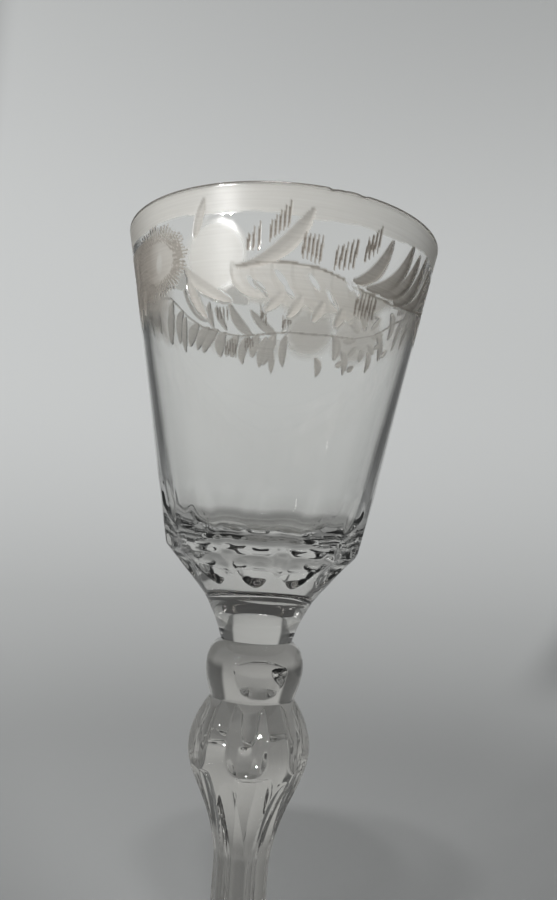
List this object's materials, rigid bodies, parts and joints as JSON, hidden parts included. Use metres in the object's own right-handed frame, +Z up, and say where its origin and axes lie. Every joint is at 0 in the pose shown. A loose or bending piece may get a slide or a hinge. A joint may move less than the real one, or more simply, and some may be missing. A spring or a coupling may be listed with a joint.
{
  "type": "engraved wine goblet",
  "caption": "Clear glass goblet with a tapered bowl on a thick faceted base, an engraved flower border, a cut knop, a faceted baluster stem and a low conical foot.",
  "frame": {"origin": "middle of the foot, on the surface that the goblet stands on", "axes": "+Z up along the goblet's axis; -Y faces the camera of the picture"},
  "size_m": [0.092, 0.092, 0.189],
  "materials": {
    "clear_glass": "polished, slightly grey",
    "engraved_glass": "matte wheel engraving"
  },
  "bodies": {
    "root": {"bowl": "clear_glass", "knop": "clear_glass", "baluster_stem": "clear_glass", "foot": "clear_glass"}
  },
  "joints": []
}
